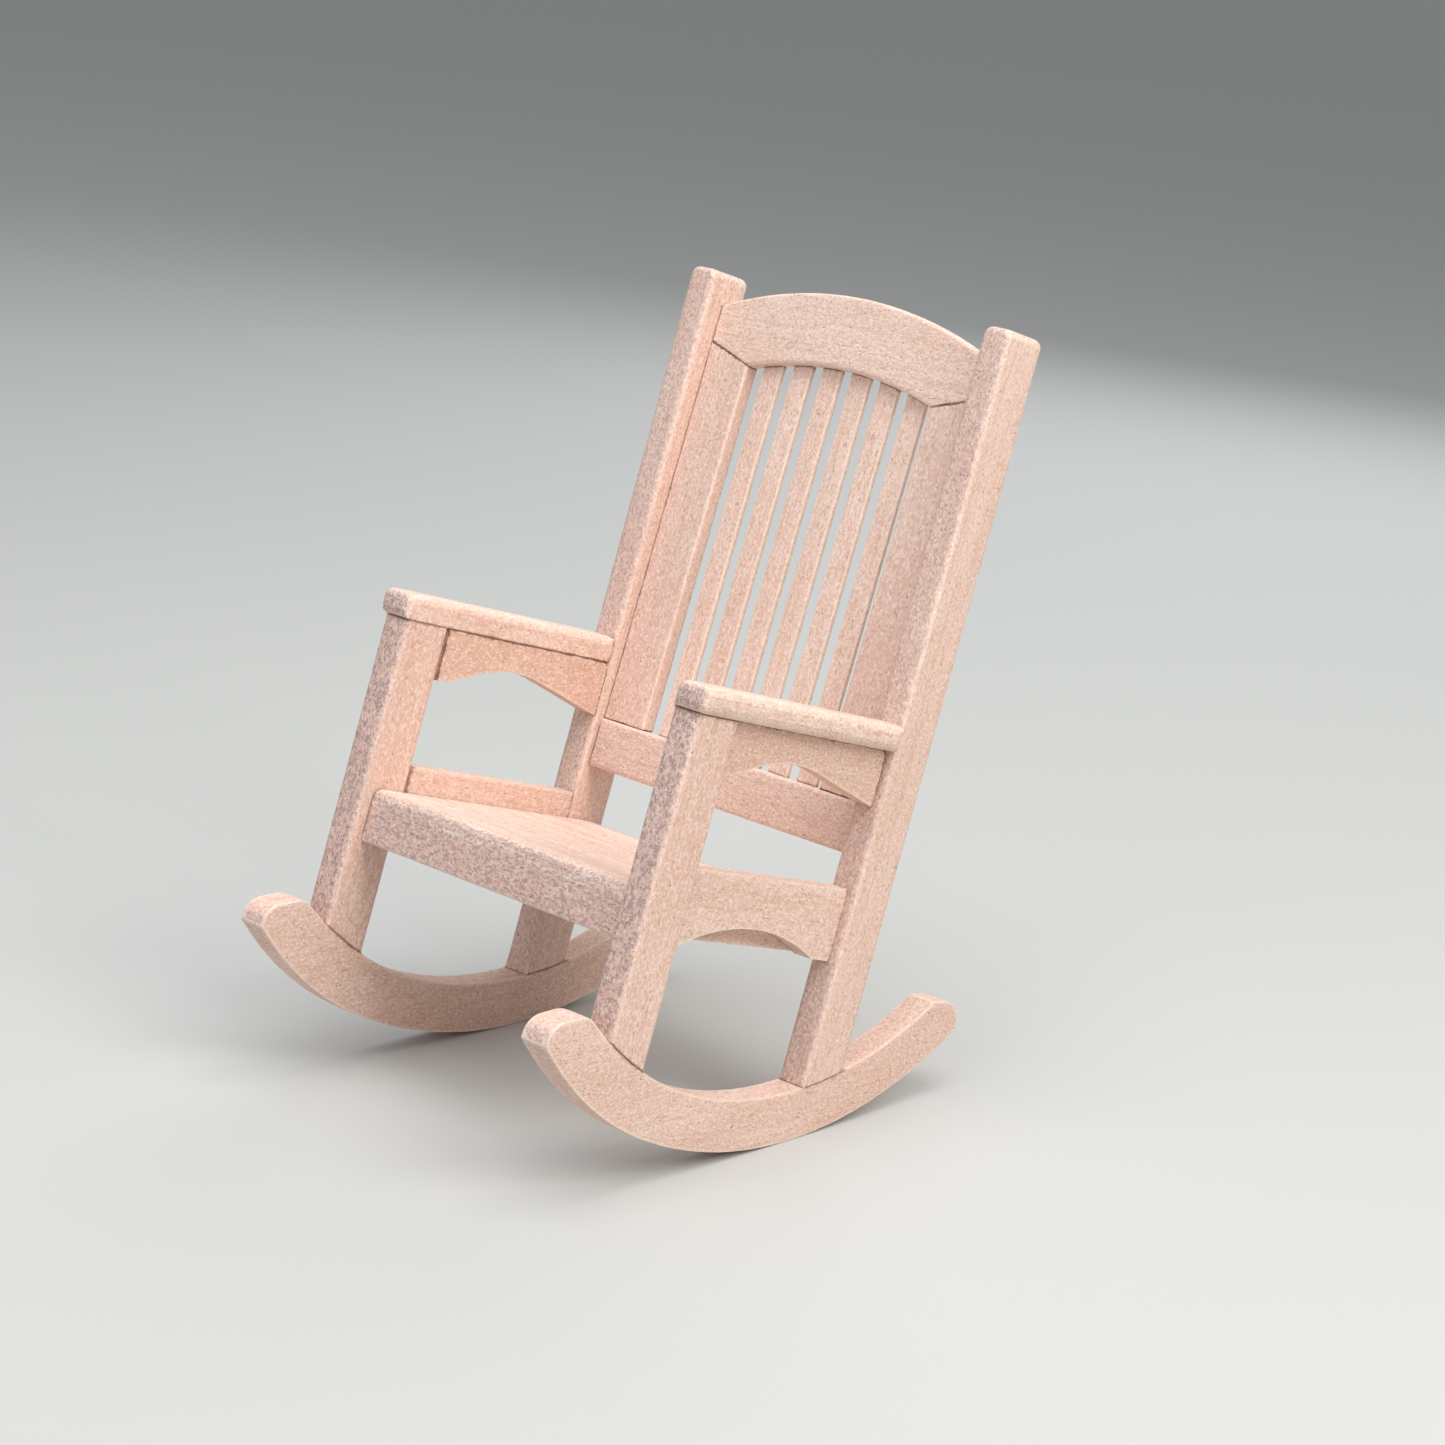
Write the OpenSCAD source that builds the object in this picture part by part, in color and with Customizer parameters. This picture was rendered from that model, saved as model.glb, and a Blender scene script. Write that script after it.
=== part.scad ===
// Miniature rocking chair, dolls house scale, in millimetres.
//
// The floor is z = 0 and the chair faces -Y. Left and right are the sitter's, so left is +X.
// Two drawing planes are used:
//   floor plane  (y, z)  the rockers: they touch the floor on the line y = 0, z = 0
//   chair plane  (s, t)  everything above them: s runs back along the arms, t runs up along
//                        the legs. It is the floor plane leaned back about the same line.
// Every piece is a flat board, so each one is an outline with a thickness.

/* [Overall] */
// How far the legs and the back lean from upright, in degrees
lean = 14; // [11:0.5:17]
// Clear width between the left and right legs
inside_w = 48.7; // [38:0.1:60]
// Height of the top of the seat, along the legs
seat_h = 31.2; // [29:0.1:37]
// Height of the underside of the arms, along the legs
arm_h = 54.4; // [52:0.1:61]
// Height of the rear posts, along the legs
back_h = 112.9; // [90:0.1:140]

/* [Legs and posts] */
// Thickness of a front leg, across the chair
leg_w = 4.6; // [3:0.1:6]
// Depth of a front leg, front to back
leg_d = 8.3; // [6:0.1:10]
// Distance from the front of a front leg to the front of a rear post
leg_pitch = 41.95; // [34:0.05:45]
// Thickness of a rear post, across the chair
post_w = 4.6; // [3:0.1:6]
// Depth of a rear post, front to back
post_d = 8.1; // [6:0.1:10]
// How far the front of a rear post stands in front of the line where the rockers touch
post_front = 0.3; // [-3:0.1:4]
// Rounding of the tops of the rear posts
post_round = 1.3; // [0.5:0.1:2]

/* [Rockers] */
// Thickness of a rocker, across the chair
rocker_w = 4.5; // [3:0.1:6]
// Height of a rocker above the floor where it touches
rocker_h = 7.2; // [5:0.1:9]
// Radius of the edge that rolls on the floor
rocker_r = 70.5; // [62:0.5:90]
// Radius of the same edge near the front tip, where it turns up faster
rocker_front_r = 51; // [46:0.5:60]
// Radius of the upper edge under the front legs
rocker_top_front_r = 54; // [50:0.5:60]
// Where the rolling edge turns into its front radius
bottom_change_y = -29.4; // [-35:0.1:-22]
// Where the upper edge turns into its front radius
top_change_y = -9.9; // [-15:0.1:-5]
// Furthest point of the front tip
tip_front_y = -49.7; // [-52:0.1:-47.5]
// Furthest point of the rear tip
tip_rear_y = 35; // [33:0.1:39]

/* [Arms] */
// Width of an arm
arm_w = 5.55; // [4:0.05:8]
// Thickness of an arm
arm_t = 3.65; // [2:0.05:5]
// How far an arm runs past the front of its leg
arm_nose = 0.6; // [0:0.1:3]
// Thickness of the apron under an arm
apron_w = 3.3; // [2:0.1:4]
// Depth of the apron at its front end
apron_h = 7.3; // [6:0.1:8]
// How far the apron's rear end hangs below its front end
apron_rear_drop = 0.7; // [0:0.1:1.5]
// Radius of the arch under the apron
apron_arch_r = 24; // [20:0.5:30]
// Height of the arch's top above the apron's front end
apron_arch_rise = 3; // [2:0.1:4]

/* [Seat] */
// Thickness of a side rail of the seat
rail_w = 3.2; // [2:0.1:4]
// How far a side rail stands above the seat
rail_above_seat = 3.7; // [1:0.1:6]
// Depth of a side rail at its ends
rail_h = 10.1; // [8:0.1:12]
// Radius of the arch under a side rail
rail_arch_r = 33.5; // [28:0.5:40]
// Height of the arch's top above the rail's ends
rail_arch_rise = 3.05; // [2:0.05:4]
// Thickness of the seat boards
seat_t = 2.45; // [1.5:0.05:3]
// How far the front seat board is set back from the front of the legs
seat_setback = 2.1; // [0.5:0.1:4]
// Width of the front seat board, front to back
front_board_d = 12.4; // [9:0.1:14]
// Width of the other seat boards, front to back
board_d = 10.5; // [8:0.1:12]
// Rounding of the front edge of the seat
seat_round = 1.2; // [0.5:0.1:2.2]
// Height of the rail under the front seat board
front_rail_h = 5; // [3:0.1:7]
// Thickness of the rail under the front seat board
front_rail_d = 3.2; // [2:0.1:5]
// Width of the cleat that carries the seat boards
cleat_w = 2.2; // [1.5:0.1:4]
// Height of that cleat
cleat_h = 3.8; // [2:0.1:5]
// How far behind the front leg that cleat starts
cleat_inset = 4.3; // [0:0.1:10]
// How far that cleat runs on under the last seat board
cleat_lap = 4; // [1:0.1:8]
// Gap between two seat boards, and between them and the side rails
board_gap = 0.1; // [0.05:0.05:0.4]

/* [Back] */
// Extra lean of the back panel, past that of the rear posts, in degrees
panel_lean = 1.4; // [0.5:0.1:2]
// Thickness of the back panel's frame
panel_t = 2.6; // [2:0.1:4]
// How far the top of the back panel is set back from the front of the posts
panel_setback = 3.5; // [2:0.1:4.5]
// Height of the underside of the bottom rail of the back, above the seat
back_gap = 8; // [5:0.1:12]
// Height of the bottom rail of the back
bottom_rail_h = 7.2; // [5:0.1:10]
// Thickness of the bottom rail of the back
bottom_rail_t = 3.3; // [2.6:0.1:4]
// How far the bottom rail stands in front of the stiles
bottom_rail_proud = 0.5; // [0:0.1:0.7]
// Width of a stile
stile_w = 7.75; // [6:0.05:9]
// Height of the top of the crest above the tops of the posts
crest_above = 0.5; // [0:0.1:3]
// Height of the crest rail in the middle
crest_h = 10.35; // [8:0.05:13]
// Radius of the crest's upper edge
crest_top_r = 63; // [55:0.5:75]
// Radius of the crest's lower edge
crest_bottom_r = 58; // [50:0.5:70]
// Rise of the mitre between crest and stile, from its inner to its outer end
mitre_rise = 2.4; // [0.5:0.1:3]
// Number of slats in the back
slat_count = 6; // [6]
// Width of a slat
slat_w = 3.5; // [2.5:0.1:4]
// Thickness of a slat
slat_t = 0.95; // [0.5:0.05:1.1]
// How far the slats lie behind the front of the stiles
slat_recess = 1.5; // [0.5:0.1:1.5]

/* [Hidden] */
$fn = 96;

inner_x = inside_w / 2;

// Legs, posts and what runs between them, in the chair plane
leg_s = -post_front - leg_pitch;
leg_back_s = leg_s + leg_d;
post_s = -post_front;
post_back_s = post_s + post_d;
span = post_s - leg_back_s;

// Rocker arcs, in the floor plane. The front arcs touch the long ones at the change points.
rocker_top_r = rocker_r - rocker_h;
bottom_change_z = rocker_r - sqrt(pow(rocker_r, 2) - pow(bottom_change_y, 2));
top_change_z = rocker_r - sqrt(pow(rocker_top_r, 2) - pow(top_change_y, 2));
bottom_share = rocker_front_r / rocker_r;
top_share = rocker_top_front_r / rocker_top_r;
bottom_front_c = [
  bottom_change_y * (1 - bottom_share),
  rocker_r * bottom_share + bottom_change_z * (1 - bottom_share)
];
top_front_c = [
  top_change_y * (1 - top_share),
  rocker_r * top_share + top_change_z * (1 - top_share)
];

// Tips of the rockers: a nose and a brow at the front, one round at the rear
nose_r = 3.1;
brow_r = 4;
heel_r = 4;
nose_y = tip_front_y + nose_r;
nose_z = bottom_z(nose_y) + 3.4;
brow_y = nose_y + 2.95;
brow_z = nose_z - 0.85;
nose_end = 91;
brow_end = 43;
tip_steps = 10;
heel_y = tip_rear_y - heel_r;
heel_z = bottom_z(tip_rear_y) + 0.75;

// The origin is the middle of the chair on the floor
back_y = post_back_s * cos(lean) + back_h * sin(lean);
origin_y = (tip_front_y + back_y) / 2;

// Arm aprons. Straight stretches leave the arch at these slopes.
apron_top = arm_h;
apron_bottom = apron_top - apron_h;
apron_arch_s = leg_back_s + span * 0.45;
apron_arch_t = apron_bottom + apron_arch_rise - apron_arch_r;
front_slope = 18;
apron_corner = 1.6;

// Side rails
rail_top = seat_h + rail_above_seat;
rail_bottom = rail_top - rail_h;
rail_mid_s = leg_back_s + span * 0.47;
rail_arch_t = rail_bottom + rail_arch_rise - rail_arch_r;

// Seat
board_under = seat_h - seat_t;
seat_front_s = leg_s + seat_setback;
board_half = inner_x - board_gap;
rear_board_s = seat_front_s + front_board_d;
last_board_s = rear_board_s + 2 * board_d;
last_board_extra = 0.8;
cleat_s = leg_back_s + cleat_inset;

// Back panel. It is drawn flat, from the level of the floor line upwards.
panel_s = post_s + panel_setback - back_h * tan(panel_lean);
bottom_rail_low = seat_h + back_gap;
bottom_rail_top = bottom_rail_low + bottom_rail_h;
stile_inner = inner_x - stile_w;
crest_top = back_h + crest_above;
crest_under = crest_top - crest_h;
mitre_inner = crest_under - crest_bottom_r + sqrt(pow(crest_bottom_r, 2) - pow(stile_inner, 2));
mitre_outer = mitre_inner + mitre_rise;
slat_gap = (2 * stile_inner - slat_count * slat_w) / (slat_count + 1);

// Height of the rolling edge above the floor
function bottom_z(y) = y > bottom_change_y
  ? rocker_r - sqrt(pow(rocker_r, 2) - pow(y, 2))
  : bottom_front_c[1] - sqrt(pow(rocker_front_r, 2) - pow(y - bottom_front_c[0], 2));

// Points on a round corner, from one angle to another
function arc(c, r, from, to) = [
  for (i = [0:tip_steps])
    let (angle = from + (to - from) * i / tip_steps)
      c + r * [cos(angle), sin(angle)]
];

// Puts a (y, z) or (s, t) outline on edge and gives it thickness from x0 to x1
module board(x0, x1) {
  translate([x0, 0, 0])
    rotate([90, 0, 90])
      linear_extrude(x1 - x0)
        children();
}

// Things drawn in the floor plane
module on_floor() {
  translate([0, -origin_y, 0])
    children();
}

// Things drawn in the chair plane
module on_chair() {
  on_floor()
    rotate([-lean, 0, 0])
      children();
}

// Things drawn flat in the plane of the back panel, x across and y up
module on_back(front, thick) {
  on_chair()
    translate([0, panel_s, 0])
      rotate([-panel_lean, 0, 0])
        translate([0, front + thick, 0])
          rotate([90, 0, 0])
            linear_extrude(thick)
              children();
}

module on_right() {
  mirror([1, 0, 0])
    children();
}

// Everything inside the long arc behind y0 and inside the short arc in front of it
module two_arcs(y0, long_r, short_r, short_c) {
  reach = 200;
  intersection() {
    translate([0, rocker_r])
      circle(r = long_r);
    translate([y0, -reach / 2])
      square([reach, reach * 2]);
  }
  intersection() {
    translate(short_c)
      circle(r = short_r);
    translate([y0 - reach, -reach / 2])
      square([reach, reach * 2]);
  }
}

// The space above a rocker, where the feet stand
module above_rocker() {
  two_arcs(top_change_y, rocker_top_r, rocker_top_front_r, top_front_c);
}

// Outline that rounds both ends of a rocker
module rocker_ends() {
  brow_tip = [brow_y, brow_z] + brow_r * [cos(brow_end), sin(brow_end)];
  polygon(concat(
    [[tip_front_y, -5]],
    arc([nose_y, nose_z], nose_r, 180, nose_end),
    arc([brow_y, brow_z], brow_r, nose_end, brow_end),
    [brow_tip + [9, 0]],
    arc([heel_y, heel_z], heel_r, 90, 0),
    [[tip_rear_y, -5]]
  ));
}

module rocker() {
  color("burlywood")
    on_floor()
      board(inner_x, inner_x + rocker_w)
        difference() {
          intersection() {
            two_arcs(bottom_change_y, rocker_r, rocker_front_r, bottom_front_c);
            rocker_ends();
          }
          above_rocker();
        }
}

// An upright standing on a rocker: children() is its (s, t) outline. The foot is cut to the rocker.
module upright(w) {
  intersection() {
    on_chair()
      board(inner_x, inner_x + w)
        children();
    on_floor()
      board(inner_x - 1, inner_x + w + 1)
        above_rocker();
  }
}

module front_leg() {
  color("tan")
    upright(leg_w)
      translate([leg_s, -5])
        square([leg_d, arm_h + 5]);
}

// A rear post, with its top rounded across the chair
module rear_post() {
  color("tan")
    intersection() {
      upright(post_w)
        translate([post_s, -5])
          square([post_d, back_h + 5]);
      on_chair()
        translate([0, post_back_s + 1, 0])
          rotate([90, 0, 0])
            linear_extrude(post_d + 2)
              post_top();
    }
}

module post_top() {
  low = inner_x + post_round;
  high = inner_x + post_w - post_round;
  for (x = [low, high])
    translate([x, back_h - post_round])
      circle(r = post_round);
  translate([low, -20])
    square([high - low, back_h + 20]);
  translate([inner_x, -20])
    square([post_w, back_h + 20 - post_round]);
}

module arm() {
  color("wheat")
    on_chair()
      translate([inner_x, leg_s - arm_nose, arm_h])
        cube([arm_w, leg_pitch + arm_nose, arm_t]);
}

// The apron's underside: a flat, a straight rise, an arch and a straight fall to the rear
module apron_cut() {
  rear_t = apron_bottom - apron_rear_drop;
  rise_s = apron_arch_s - apron_arch_r * sin(front_slope);
  rise_t = apron_arch_t + apron_arch_r * cos(front_slope);
  foot_s = rise_s - (rise_t - apron_bottom) / tan(front_slope);
  far = [post_s - apron_arch_s, rear_t - apron_arch_t];
  rear_slope = 90 - atan2(far[1], far[0]) - acos(apron_arch_r / norm(far));
  translate([apron_arch_s, apron_arch_t])
    circle(r = apron_arch_r);
  polygon([
    [leg_back_s - 1, apron_bottom],
    [foot_s, apron_bottom],
    [rise_s, rise_t],
    [apron_arch_s, apron_arch_t],
    [apron_arch_s + apron_arch_r * sin(rear_slope), apron_arch_t + apron_arch_r * cos(rear_slope)],
    [post_s, rear_t],
    [post_s + 1, rear_t],
    [post_s + 1, rear_t - 8],
    [leg_back_s - 1, rear_t - 8]
  ]);
}

// The rear top corner of an apron is eased where it meets the post
module apron_corner_cut() {
  translate([post_s - apron_corner, apron_top - apron_corner])
    difference() {
      square(apron_corner + 1);
      circle(r = apron_corner);
    }
}

module arm_apron() {
  color("burlywood")
    on_chair()
      board(inner_x, inner_x + apron_w)
        difference() {
          translate([leg_back_s, apron_bottom - 2])
            square([span, apron_h + 2]);
          apron_cut();
          apron_corner_cut();
        }
}

module side_rail() {
  color("burlywood")
    on_chair()
      board(inner_x, inner_x + rail_w)
        difference() {
          translate([leg_back_s, rail_bottom])
            square([span, rail_h]);
          translate([rail_mid_s, rail_arch_t])
            circle(r = rail_arch_r);
        }
}

module seat_cleat() {
  color("peru")
    on_chair()
      translate([inner_x - cleat_w, cleat_s, board_under - cleat_h])
        cube([cleat_w, last_board_s + cleat_lap - cleat_s, cleat_h]);
}

module seat_front_rail() {
  color("tan")
    on_chair()
      translate([-inner_x, seat_front_s, board_under - front_rail_h])
        cube([inside_w, front_rail_d, front_rail_h]);
}

// A seat board from s0, d wide, with its front edge rounded by r
module seat_board(s0, d, r) {
  color("wheat")
    on_chair()
      board(-board_half, board_half) {
        translate([s0 + r, board_under])
          square([d - r, seat_t]);
        translate([s0, board_under])
          square([d, seat_t - r]);
        intersection() {
          translate([s0 + r, seat_h - r])
            circle(r = r);
          translate([s0, board_under])
            square([r, seat_t]);
        }
      }
}

// The plain boards behind the front one, counted from 0
module plain_board(i, extra) {
  seat_board(rear_board_s + board_gap + i * board_d, board_d - board_gap + extra, 0.2);
}

module back_bottom_rail() {
  color("tan")
    on_back(-bottom_rail_proud, bottom_rail_t)
      translate([-inner_x, bottom_rail_low])
        square([inside_w, bottom_rail_h]);
}

module back_stile() {
  color("burlywood")
    on_back(0, panel_t)
      polygon([
        [stile_inner, bottom_rail_top],
        [inner_x, bottom_rail_top],
        [inner_x, mitre_outer],
        [stile_inner, mitre_inner]
      ]);
}

module crest_rail() {
  color("wheat")
    on_back(0, panel_t)
      difference() {
        intersection() {
          translate([0, crest_top - crest_top_r])
            circle(r = crest_top_r);
          polygon([
            [-inner_x, mitre_outer],
            [-stile_inner, mitre_inner],
            [stile_inner, mitre_inner],
            [inner_x, mitre_outer],
            [inner_x, crest_top + 1],
            [-inner_x, crest_top + 1]
          ]);
        }
        intersection() {
          translate([0, crest_under - crest_bottom_r])
            circle(r = crest_bottom_r);
          translate([-stile_inner, bottom_rail_top])
            square([2 * stile_inner, crest_top - bottom_rail_top]);
        }
      }
}

// A slat, counted from 0 on the sitter's right. Its top is cut to the crest's arch.
module back_slat(i) {
  color("tan")
    on_back(slat_recess, slat_t)
      intersection() {
        translate([-stile_inner + slat_gap + i * (slat_w + slat_gap), bottom_rail_top])
          square([slat_w, crest_top - bottom_rail_top]);
        translate([0, crest_under - crest_bottom_r])
          circle(r = crest_bottom_r);
      }
}

rocker();  // rocker_left
on_right() rocker();  // rocker_right
front_leg();  // front_leg_left
on_right() front_leg();  // front_leg_right
rear_post();  // rear_post_left
on_right() rear_post();  // rear_post_right
arm();  // arm_left
on_right() arm();  // arm_right
arm_apron();  // arm_apron_left
on_right() arm_apron();  // arm_apron_right
side_rail();  // side_rail_left
on_right() side_rail();  // side_rail_right
seat_cleat();  // seat_cleat_left
on_right() seat_cleat();  // seat_cleat_right
seat_front_rail();
seat_board(seat_front_s, front_board_d, seat_round);  // seat_board_1
plain_board(0, 0);  // seat_board_2
plain_board(1, 0);  // seat_board_3
plain_board(2, last_board_extra);  // seat_board_4
back_bottom_rail();
back_stile();  // back_stile_left
on_right() back_stile();  // back_stile_right
crest_rail();
back_slat(0);  // back_slat_1
back_slat(1);  // back_slat_2
back_slat(2);  // back_slat_3
back_slat(3);  // back_slat_4
back_slat(4);  // back_slat_5
back_slat(5);  // back_slat_6
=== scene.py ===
# %% [markdown]
# # A rocking chair for a dolls house
#
# The real chair is about 110 mm high and is glued up from small boards of one bare, pale, close-grained
# wood. Nobody turned or carved anything: each piece is an outline sawn from a board a few millimetres
# thick, sanded by hand until its edges went soft, and glued edge to edge. So the work here is in two
# things, the softened edges and the wood itself.
#
# The CAD model already holds every board at its right size and place. It is loaded first, as a fixed
# frame in metres, and nothing in it is moved.

# %% Load the frame
import math

import bmesh
import bpy
from mathutils import Matrix, Vector, noise
from mathutils.bvhtree import BVHTree
from mathutils.kdtree import KDTree


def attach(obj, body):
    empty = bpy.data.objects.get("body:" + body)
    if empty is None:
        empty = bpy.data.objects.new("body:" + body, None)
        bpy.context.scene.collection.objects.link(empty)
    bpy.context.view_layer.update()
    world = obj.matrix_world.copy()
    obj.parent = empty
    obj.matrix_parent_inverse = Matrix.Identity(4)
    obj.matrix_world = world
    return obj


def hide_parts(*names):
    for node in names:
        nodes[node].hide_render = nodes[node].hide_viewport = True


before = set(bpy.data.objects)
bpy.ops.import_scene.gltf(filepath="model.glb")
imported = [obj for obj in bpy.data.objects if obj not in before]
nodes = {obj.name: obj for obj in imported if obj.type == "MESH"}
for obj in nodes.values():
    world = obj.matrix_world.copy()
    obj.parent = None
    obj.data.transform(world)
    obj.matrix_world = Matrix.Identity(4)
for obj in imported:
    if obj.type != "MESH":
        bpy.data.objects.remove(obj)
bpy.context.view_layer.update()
MM = 0.001

# %% [markdown]
# ## The directions that the boards run in
#
# The chair stands leaned back on its rockers, so its boards don't run along the axes of the room. Three
# directions are enough for the legs, arms and seat: across the chair, back along the arms, and up along
# the legs. The panel of the back leans a little further than its posts, so it has its own pair.
# A direction is kept as a Vector, because the grain of the wood and the cuts across a board both follow it.

# %% Directions
LEAN = math.radians(14)
PANEL_LEAN = math.radians(15.4)
ACROSS = Vector((1, 0, 0))


def back_and_up(lean):
    """The two directions, back and up, of a part of the chair that leans back by this angle."""
    return Vector((0, math.cos(lean), -math.sin(lean))), Vector((0, math.sin(lean), math.cos(lean)))


BACK, UP = back_and_up(LEAN)
PANEL_BACK, PANEL_UP = back_and_up(PANEL_LEAN)
LEVEL_BACK, LEVEL_UP = back_and_up(0)
print("legs lean", round(math.degrees(LEAN), 1), "degrees, back", round(math.degrees(PANEL_LEAN), 1))

# %% [markdown]
# ## The list of boards
#
# A maker keeps a cutting list. This one has a line for each kind of board, shared by left and right:
#
# - axes: which way its grain, its width and its thickness lie. The grain always runs along a board's
#   length, because a short-grained stick this thin would snap.
# - soft: how far sandpaper has rounded its free edges, in millimetres.
# - tone: how light the wood is. painted_shade adds tan all over, which is painted shade, and pale adds pale
#   streaks.
# - coarse: how grey and rough the face is that looks forward.
# - groove and glue: how wide and how dark its glue lines are, where they differ from the usual.

# %% Cutting list
BOARDS = {
    "rocker": dict(
        axes=(LEVEL_BACK, LEVEL_UP, ACROSS), soft=0.62, tone=0.0, coarse=0.25, slot="frame_wood"
    ),
    "front_leg": dict(
        axes=(UP, BACK, ACROSS), soft=0.75, tone=-0.15, coarse=1.25, slot="frame_wood"
    ),
    "rear_post": dict(
        axes=(UP, BACK, ACROSS), soft=0.7, tone=0.1, coarse=0.75, slot="frame_wood"
    ),
    "arm": dict(
        axes=(BACK, ACROSS, UP), soft=1.15, tone=0.25, coarse=0.9, slot="arm_wood"
    ),
    # The aprons are tinted darker all over, by their low tone and the tan added to them: painted shade,
    # standing in for the shade under the arms. Their dark glue lines under the arms are partly glue and
    # partly painted shadow.
    "arm_apron": dict(
        axes=(BACK, UP, ACROSS), soft=0.3, tone=-0.3, painted_shade=0.3, coarse=0.0,
        groove=0.2, glue=0.95, slot="side_wood",
    ),
    "side_rail": dict(
        axes=(BACK, UP, ACROSS), soft=0.4, tone=0.0, coarse=0.2, slot="side_wood"
    ),
    "seat_cleat": dict(
        axes=(BACK, UP, ACROSS), soft=0.2, tone=-0.3, coarse=0.0, slot="seat_wood"
    ),
    "seat_front_rail": dict(
        axes=(ACROSS, UP, BACK), soft=0.3, tone=-0.1, coarse=1.1, slot="seat_wood"
    ),
    "seat_board_1": dict(
        axes=(ACROSS, UP, BACK), soft=0.22, tone=0.2, pale=0.8, coarse=1.0, slot="seat_wood"
    ),
    "seat_board": dict(
        axes=(ACROSS, BACK, UP), soft=0.22, tone=0.3, pale=0.8, coarse=0.8,
        glue=0.35, slot="seat_wood",
    ),
    "back_bottom_rail": dict(
        axes=(ACROSS, PANEL_UP, PANEL_BACK), soft=0.5, tone=0.0, coarse=0.35,
        groove=0.25, glue=0.95, slot="back_wood",
    ),
    "back_stile": dict(
        axes=(PANEL_UP, ACROSS, PANEL_BACK), soft=0.35, tone=-0.05, coarse=0.25,
        groove=0.25, glue=0.95, slot="back_wood",
    ),
    "crest_rail": dict(
        axes=(ACROSS, PANEL_UP, PANEL_BACK), soft=0.5, tone=0.3, coarse=0.15,
        groove=0.25, glue=0.95, slot="back_wood",
    ),
    "back_slat": dict(
        axes=(PANEL_UP, ACROSS, PANEL_BACK), soft=0.24, tone=0.1, coarse=0.0, slot="back_wood"
    ),
}


def board_of(node):
    """The cutting-list line of a node: rocker_left and rocker_right are both of kind rocker."""
    return BOARDS[max((kind for kind in BOARDS if node.startswith(kind)), key=len)]


for kind in BOARDS:
    print(kind, [n for n in nodes if board_of(n) is BOARDS[kind]])

# %% [markdown]
# ## A clean copy of a sawn board
#
# A CAD node's mesh is loose triangles. A copy is merged into one skin, and triangles that lie in one
# plane are dissolved into one face, so that what is left are the real faces and the real arrises of the
# board. Only then can an edge be told from a line that just splits a flat face.

# %% Merge a copy
SAME_POINT = 0.002 * MM
SAME_PLANE = math.radians(0.4)
CORNER = math.radians(35)


def sawn(node):
    """A bmesh of the board as sawn, with one face for each flat."""
    bm = bmesh.new()
    bm.from_mesh(nodes[node].data)
    bm.edges.layers.float.new("bevel_weight_edge")
    bmesh.ops.remove_doubles(bm, verts=bm.verts, dist=SAME_POINT)
    bmesh.ops.dissolve_limit(bm, angle_limit=SAME_PLANE, verts=bm.verts, edges=bm.edges)
    return bm


def arrises(bm):
    """The edges where two faces meet at a real outside corner."""
    return [e for e in bm.edges if len(e.link_faces) == 2 and e.calc_face_angle_signed() > CORNER]


# %% [markdown]
# ## Free edges and glued edges
#
# The chair was glued together before its last sanding. An edge out in the open went round under the
# paper, while an edge that lies against another board stayed sharp and shows as a thin dark line of glue.
# Points along each arris are measured against all the other boards with a search tree: an arris that
# lies on a neighbour for most of its length is a glued one.

# %% Find the glued edges
STEP = 0.3 * MM
TOUCH = 0.12 * MM
MOST = 0.55
# Pairs whose joint was sanded flush and filled, so that it doesn't show
FLUSH = {"seat_board_1": "seat_front_rail", "seat_front_rail": "seat_board_1"}


def tree_of(names):
    """A search tree of these boards."""
    points, faces = [], []
    for name in names:
        start, mesh = len(points), nodes[name].data
        points += [v.co.copy() for v in mesh.vertices]
        faces += [[start + i for i in p.vertices] for p in mesh.polygons]
    return BVHTree.FromPolygons(points, faces)


def along(edge):
    """Points along an edge, a step apart, ends included."""
    a, b = (v.co for v in edge.verts)
    count = max(2, math.ceil((b - a).length / STEP) + 1)
    return [a.lerp(b, i / (count - 1)) for i in range(count)]


def is_glued(edge, others):
    """Whether an edge lies on another board for most of its length."""
    inner = along(edge)[1:-1] or [(edge.verts[0].co + edge.verts[1].co) / 2]
    touching = sum(others.find_nearest(p, TOUCH)[0] is not None for p in inner)
    return touching > MOST * len(inner)


# %% [markdown]
# ## Rounding the edges
#
# The Bevel modifier can round edges by different amounts in one go, each edge by its own weight, and it
# joins them neatly at the corners. Three segments are enough for a radius of about a millimetre. A glued
# edge gets a small share of the width, which leaves the fine groove that a glue line has.

# %% Bevel by weight
GROOVE = 0.09
ROUND_SEGMENTS = 3


def rounded(node, bm, free, glued, soft, groove):
    """A bmesh of the board with soft free edges and crisp glued ones."""
    weight = bm.edges.layers.float["bevel_weight_edge"]
    for e in free:
        e[weight] = 1.0
    for e in glued:
        e[weight] = min(1.0, groove / soft)
    mesh = bpy.data.meshes.new(node + "_sawn")
    bm.to_mesh(mesh)
    bm.free()
    shape = bpy.data.objects.new(node + "_sawn", mesh)
    bpy.context.scene.collection.objects.link(shape)
    bevel = shape.modifiers.new("Sanding", "BEVEL")
    bevel.width, bevel.segments, bevel.limit_method = soft * MM, ROUND_SEGMENTS, "WEIGHT"
    bevel.miter_outer = "MITER_ARC"
    evaluated = shape.evaluated_get(bpy.context.evaluated_depsgraph_get())
    done = bpy.data.meshes.new_from_object(evaluated)
    bpy.data.objects.remove(shape)
    rounded_board = bmesh.new()
    rounded_board.from_mesh(done)
    return rounded_board


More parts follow.
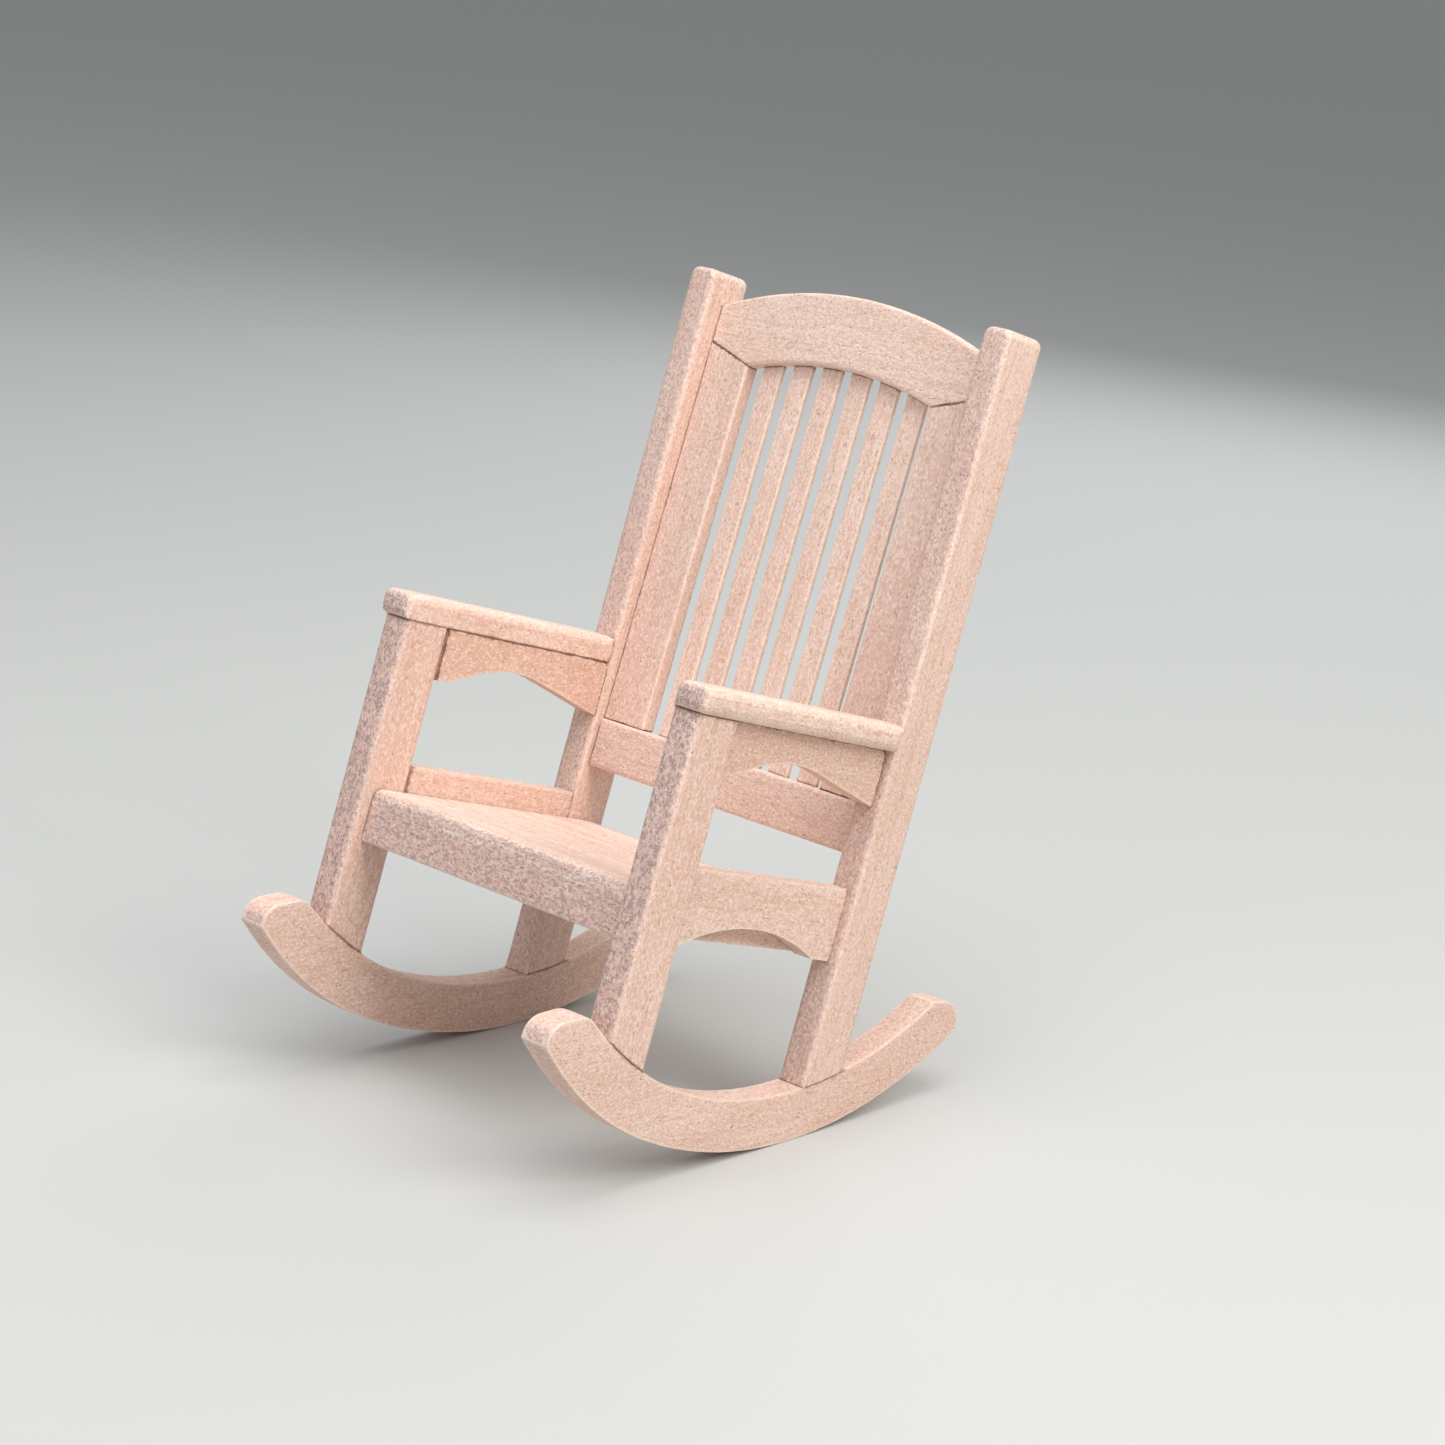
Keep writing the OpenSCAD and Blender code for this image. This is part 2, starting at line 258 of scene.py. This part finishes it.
# %% [markdown]
# ## Faces fine enough to be worn
#
# A hand-sanded board is never quite flat and its edges waver. To show that in the mesh itself, each flat
# is first inset, which puts a loop of edges just inside the rounding and keeps it tight, and the whole
# board is then cut by planes about a millimetre apart, along it and across it. The thin strips of the
# rounding itself are no flats, and are told by their width.

# %% Inset and slice
SLICE = 1.3 * MM
NARROW = 0.8 * MM
INSET = 0.2 * MM
ON_PLANE = 0.01 * MM


def dice(bm, axes):
    """Adds edge loops along and across the board."""
    flats = [f for f in bm.faces if f.calc_area() > 0.5 * f.calc_perimeter() * NARROW]
    bmesh.ops.inset_individual(bm, faces=flats, thickness=INSET, use_even_offset=False)
    for axis in axes:
        reach = [v.co.dot(axis) for v in bm.verts]
        low, high = min(reach), max(reach)
        count = max(1, round((high - low) / SLICE))
        for i in range(1, count):
            here = axis * (low + (high - low) * i / count)
            everything = bm.verts[:] + bm.edges[:] + bm.faces[:]
            bmesh.ops.bisect_plane(bm, geom=everything, dist=ON_PLANE, plane_co=here, plane_no=axis)


# %% [markdown]
# ## Wear
#
# Two numbers are stored at every vertex. "arris" is 1 on a free edge and fades to 0 a millimetre or
# two away, and "glue" does the same within half a millimetre of a glued edge. The material reads both:
# bare wood goes pale where it is rubbed, and a joint holds a little dust and glue. The same numbers say
# how far a vertex may move. Everything moves inwards, never out, so that no board grows past its drawn
# size. All of these lengths are in millimetres.

# %% Measure and wear
GLUE_REACH = 0.5
LEAST_REACH = 0.9
REACH_PER_SOFT = 1.5
SLOW, QUICK = 0.35, 1.1
UNEVEN = 0.022
RUBBED_AWAY = 0.1
HELD_SHARP = 0.3


def nearness(bm, points, reach):
    """For each vertex, 1 at the nearest of the points and 0 at reach or further."""
    if not points:
        return [0.0] * len(bm.verts)
    tree = KDTree(len(points))
    for i, p in enumerate(points):
        tree.insert(p, i)
    tree.balance()
    return [max(0.0, 1 - tree.find(v.co)[2] / reach) for v in bm.verts]


def wear(bm, free_points, glued_points, soft, seed):
    """Stores arris and glue on the vertices, and sands the surface slightly uneven."""
    arris_layer, glue_layer = (bm.verts.layers.float.new(name) for name in ("arris", "glue"))
    bm.normal_update()
    arris = nearness(bm, free_points, max(LEAST_REACH, REACH_PER_SOFT * soft) * MM)
    glue = nearness(bm, glued_points, GLUE_REACH * MM)
    shift = Vector((seed * 17.3, seed * 5.1, seed * 9.7))
    moves = []
    for v, a, g in zip(bm.verts, arris, glue):
        v[arris_layer], v[glue_layer] = a, g
        p = v.co / MM + shift
        slow = 0.5 + 0.5 * noise.noise(p * SLOW)
        quick = 0.5 + 0.5 * noise.noise(p * QUICK)
        depth = (UNEVEN * slow + (RUBBED_AWAY * quick * a if g < HELD_SHARP else 0.0)) * MM
        moves.append(v.normal * -depth)
    for v, move in zip(bm.verts, moves):
        v.co += move


# %% [markdown]
# ## Making every board
#
# All 29 boards go through the same bench: copy, sort the edges, round, dice, wear. Each finished board
# replaces its CAD node and rides on the chair's one body.
# Weighted normals keep the flats flat-looking right up to the rounded edges, and corners that were left
# unrounded, as at a flush joint, stay sharp.

# %% Make the boards
SHARP = math.radians(50)
FLAT_WEIGHT = 60
made = {}
for seed, node in enumerate(sorted(nodes)):
    line = board_of(node)
    others = tree_of(n for n in nodes if n != node)
    bm = sawn(node)
    edges = arrises(bm)
    if node in FLUSH:
        partner = tree_of([FLUSH[node]])
        edges = [e for e in edges if not is_glued(e, partner)]
    glued = [e for e in edges if is_glued(e, others)]
    free = [e for e in edges if e not in glued]
    free_points = [p for e in free for p in along(e)]
    glued_points = [p for e in glued for p in along(e)]
    bm = rounded(node, bm, free, glued, line["soft"], line.get("groove", GROOVE))
    dice(bm, line["axes"])
    wear(bm, free_points, glued_points, line["soft"], seed)
    for f in bm.faces:
        f.smooth = True
    for e in bm.edges:
        e.smooth = len(e.link_faces) == 2 and e.calc_face_angle() < SHARP
    mesh = bpy.data.meshes.new(node + "_board")
    bm.to_mesh(mesh)
    bm.free()
    piece = bpy.data.objects.new(node + "_board", mesh)
    bpy.context.scene.collection.objects.link(piece)
    smooth = piece.modifiers.new("Flat flats", "WEIGHTED_NORMAL")
    smooth.weight, smooth.keep_sharp = FLAT_WEIGHT, True
    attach(piece, "root")
    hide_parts(node)
    made[node] = piece
    print(node, len(free), "free and", len(glued), "glued edges,", len(mesh.polygons), "faces")
print(sum(len(p.data.polygons) for p in made.values()), "faces in all")


# %% [markdown]
# ## Writing a material as sums
#
# A wood pattern is arithmetic on a few noises. Wire stands for one output of a node, and adding or
# multiplying Wires adds the Math nodes that do it. Every other kind of node comes from one method,
# node(), which takes the node's settings first and then the values or Wires of its inputs.

# %% Shader helper
class Wire:
    """One output of a node, which can be added, subtracted and multiplied."""

    def __init__(self, tree, socket=None):
        self.tree, self.socket = tree, socket

    def node(self, kind, settings, inputs, output=0):
        """A new node of this kind, as the Wire of one of its outputs."""
        box = self.tree.nodes.new(kind)
        for name, value in settings.items():
            setattr(box, name, value)
        for name, value in inputs.items():
            if isinstance(value, Wire):
                self.tree.links.new(value.socket, box.inputs[name])
            else:
                box.inputs[name].default_value = value
        return Wire(self.tree, box.outputs[output])

    def math(self, operation, *values):
        return self.node("ShaderNodeMath", {"operation": operation}, dict(enumerate(values)))

    def __add__(self, other):
        return self.math("ADD", self, other)

    def __mul__(self, other):
        return self.math("MULTIPLY", self, other)

    def __sub__(self, other):
        return self.math("SUBTRACT", self, other)

    def __rsub__(self, other):
        return self.math("SUBTRACT", other, self)

    __radd__, __rmul__ = __add__, __mul__

    def rise(self, low, high):
        """0 below low, then up to 1 at high, with a soft start and stop."""
        settings = {"interpolation_type": "SMOOTHSTEP"}
        return self.node("ShaderNodeMapRange", settings, {0: self, 1: low, 2: high, 3: 0.0, 4: 1.0})

    def tint(self, amount, colour):
        """This colour, turned towards another by an amount."""
        return self.node("ShaderNodeMix", {"data_type": "RGBA"}, {0: amount, 6: self, 7: (*colour, 1)}, 2)

    def stretched(self, x, y, z):
        """These coordinates, scaled."""
        return self.node("ShaderNodeVectorMath", {"operation": "MULTIPLY"}, {0: self, 1: (x, y, z)})

    def noise(self, detail, rough):
        """A cloudy noise with lumps one unit of these coordinates across."""
        values = {"Vector": self, "Scale": 1, "Detail": detail, "Roughness": rough}
        return self.node("ShaderNodeTexNoise", {}, values)

    def cells(self):
        """The distance to the nearest of scattered points, about one to a unit."""
        return self.node("ShaderNodeTexVoronoi", {}, {"Vector": self, "Scale": 1}, "Distance")

    def facing(self, way):
        """For a normal, how squarely it faces this way."""
        return self.node("ShaderNodeVectorMath", {"operation": "DOT_PRODUCT"}, {0: self, 1: way}, "Value")


# %% [markdown]
# ## The wood
#
# The wood is pale, pinkish and close, like beech or pear. Over a whole board the tone drifts between
# cream and pink, with brownish blotches a millimetre or two across. Along the grain run faint streaks
# less than a millimetre wide. Finest of all is a grit of light and dark fibres. And all over it there
# are small dark dashes, the cut pores, under half a millimetre long and lying with the grain. A face
# sawn across the grain is greyer and rougher, and so is the front of the legs and the seat. Edges are
# rubbed pale, and the glue lines are dark and a little ragged.
#
# Each board's own directions turn the pattern, so the grain runs along every board, and each board is
# shifted to another place in the tree, so no two look alike. The first seat board and the rail below it
# share a place, because their joint is sanded flush and doesn't show.

# %% Wood material
CREAM = (0.81, 0.605, 0.515)
PINK = (0.73, 0.485, 0.405)
TAN = (0.62, 0.375, 0.265)
PORE = (0.20, 0.09, 0.06)
ASH = (0.40, 0.275, 0.27)
RUBBED = (0.93, 0.77, 0.65)
GLUE = (0.16, 0.07, 0.04)
SHEEN = 0.35


def wood(name, line, seed):
    """Bare sanded wood, with its grain along the board."""
    material = bpy.data.materials.new(name)
    material.use_nodes = True
    tree = material.node_tree
    tree.nodes.clear()
    start = Wire(tree)
    grain, width, thickness = line["axes"]
    turn = Matrix((grain, width, thickness)).to_euler()
    place = start.node("ShaderNodeTexCoord", {}, {}, "Object")
    shift = (seed * 37.7, seed * 11.3, seed * 23.9)
    board = start.node("ShaderNodeMapping", {}, {0: place, 1: shift, 2: turn, 3: (1 / MM,) * 3})
    normal = start.node("ShaderNodeNewGeometry", {}, {}, "Normal")
    end_grain = start.math("ABSOLUTE", normal.facing(grain)).rise(0.55, 0.9)
    forward = normal.facing(-BACK).rise(0.45, 0.85) * line["coarse"]

    # Each pattern is scaled along the grain, across the width and through the thickness
    drift = board.stretched(0.035, 0.16, 0.16).noise(2, 0.5)
    blotch = board.stretched(0.55, 1.0, 1.0).noise(3, 0.7)
    streak = board.stretched(0.07, 1.9, 1.9).noise(4, 0.6)
    grit = board.stretched(1.9, 3.0, 3.0).noise(3, 0.8)
    fine = board.stretched(1.0, 2.5, 2.5)
    wander = start.node("ShaderNodeTexNoise", {}, {"Vector": fine, "Scale": 0.5, "Detail": 1}, "Color")
    loose = start.node("ShaderNodeVectorMath", {"operation": "ADD"}, {0: fine, 1: wander})
    pore_share = board.stretched(0.5, 0.9, 0.9).noise(1, 0.5).rise(0.42, 0.6)
    pores = (1 - loose.cells().rise(0.08, 0.3)) * pore_share
    speck = board.stretched(1.5, 2.1, 2.1).noise(2, 0.8).rise(0.46, 0.62)

    arris = start.node("ShaderNodeAttribute", {"attribute_name": "arris"}, {}, "Fac")
    glue = start.node("ShaderNodeAttribute", {"attribute_name": "glue"}, {}, "Fac")

    # Each tint goes over the ones before it
    sides = {0: (drift + line["tone"] * 0.6).rise(0.2, 0.85), 6: (*PINK, 1), 7: (*CREAM, 1)}
    colour = start.node("ShaderNodeMix", {"data_type": "RGBA"}, sides, 2)
    # Blotches add tan here, and on the aprons tan is also added all over, as painted shade from the arms
    # above.
    colour = colour.tint(blotch.rise(0.48, 0.68) * 0.5 + line.get("painted_shade", 0.0), TAN)
    colour = colour.tint(streak.rise(0.48, 0.68) * 0.5, TAN)
    colour = colour.tint((1 - streak.rise(0.36, 0.5)) * line.get("pale", 0.0), RUBBED)
    colour = colour.tint(grit.rise(0.5, 0.64) * 0.65, RUBBED)
    colour = colour.tint((1 - grit.rise(0.36, 0.5)) * 0.65, TAN)
    colour = colour.tint((end_grain * 0.4 + forward * 0.6) * (0.3 + speck), ASH)
    colour = colour.tint(pores * (0.62 + forward * 0.2), PORE)
    colour = colour.tint(arris.rise(0.45, 1.0) * (0.3 + grit * 0.5), RUBBED)
    ragged = (glue + (blotch - 0.5) * 0.9).rise(0.42, 0.8)
    colour = colour.tint(ragged * line.get("glue", 0.6), GLUE)

    # The finest unevenness is too small for the mesh, so it is a bump, less than a tenth of a millimetre
    height = grit * 0.5 + streak * 0.25 - pores * 0.6 - speck * (0.3 + end_grain * 0.4 + forward * 0.7)
    bump = start.node("ShaderNodeBump", {}, {"Strength": 0.7, "Distance": 0.06 * MM, "Height": height})
    rough = 0.60 + grit * 0.12 + pores * 0.15 + forward * 0.08 - arris.rise(0.5, 1.0) * 0.08
    finish = {"Base Color": colour, "Roughness": rough, "Normal": bump, "Specular IOR Level": SHEEN}
    surface = start.node("ShaderNodeBsdfPrincipled", {}, finish)
    out = tree.nodes.new("ShaderNodeOutputMaterial")
    tree.links.new(surface.socket, out.inputs["Surface"])
    return material


for seed, node in enumerate(sorted(made)):
    place = sorted(made).index(FLUSH[node]) if node == "seat_board_1" else seed
    made[node].data.materials.append(wood("wood_" + node, board_of(node), place))
print(len(made), "boards of wood")

# %% [markdown]
# ## Floor, light and camera
#
# The chair stands on a plain pale floor. The light is soft: a large panel above, a warm one at the
# chair's left, weaker ones in front and behind, and a pale sky, so that the tops are brightest, the
# sides are clear and the undersides stay readable. The camera stands to the chair's left, a little
# above it, and is tipped sideways by a few degrees, which is why the chair seems to lean.

# %% Floor
FLOOR_RADIUS = 150.0
disc = bmesh.new()
bmesh.ops.create_circle(disc, cap_ends=True, segments=128, radius=FLOOR_RADIUS)
floor_mesh = bpy.data.meshes.new("floor")
disc.to_mesh(floor_mesh)
disc.free()
floor = bpy.data.objects.new("floor", floor_mesh)
bpy.context.scene.collection.objects.link(floor)
paint = bpy.data.materials.new("pale_floor")
paint.use_nodes = True
shader = paint.node_tree.nodes["Principled BSDF"]
shader.inputs["Base Color"].default_value = (0.52, 0.52, 0.50, 1)
shader.inputs["Roughness"].default_value = 0.9
floor_mesh.materials.append(paint)

# %% Light
world = bpy.data.worlds.new("sky")
world.use_nodes = True
glow = world.node_tree.nodes["Background"]
glow.inputs["Color"].default_value = (0.93, 0.97, 1.0, 1)
glow.inputs["Strength"].default_value = 0.38
bpy.context.scene.world = world
bpy.context.scene.view_settings.view_transform = "Standard"


def panel(name, place, aim, size, power, colour):
    """A square soft light at a place, turned to face a point. Millimetres."""
    light = bpy.data.lights.new(name, "AREA")
    light.size, light.energy, light.color = size * MM, power, colour
    lamp = bpy.data.objects.new(name, light)
    lamp.location = Vector(place) * MM
    lamp.rotation_euler = (Vector(place) - Vector(aim)).to_track_quat("Z", "Y").to_euler()
    bpy.context.scene.collection.objects.link(lamp)


panel("overhead", (160, -160, 800), (0, 0, 50), 620, 5.4, (0.97, 0.98, 1.0))
panel("side", (560, 20, 520), (0, 0, 50), 380, 2.7, (1.0, 0.96, 0.90))
panel("front", (60, -700, 420), (0, 0, 60), 500, 1.3, (0.86, 0.93, 1.0))
panel("behind", (-250, 650, 420), (0, 0, 60), 500, 1.6, (0.93, 0.96, 1.0))

# %% Camera
AZIMUTH, ELEVATION, ROLL = 40.411, 14.035, 6.171
STAND = Vector((288.20, -320.41, 161.31)) * MM
LENS, SENSOR = 81.976, 36
camera = bpy.data.objects.new("camera", bpy.data.cameras.new("camera"))
camera.data.lens, camera.data.sensor_width = LENS, SENSOR
camera.data.clip_start, camera.data.clip_end = 0.01, 400
turn = (
    Matrix.Rotation(math.radians(AZIMUTH), 4, "Z")
    @ Matrix.Rotation(math.radians(90 - ELEVATION), 4, "X")
    @ Matrix.Rotation(math.radians(ROLL), 4, "Z")
)
camera.matrix_world = Matrix.Translation(STAND) @ turn
bpy.context.scene.collection.objects.link(camera)
bpy.context.scene.camera = camera
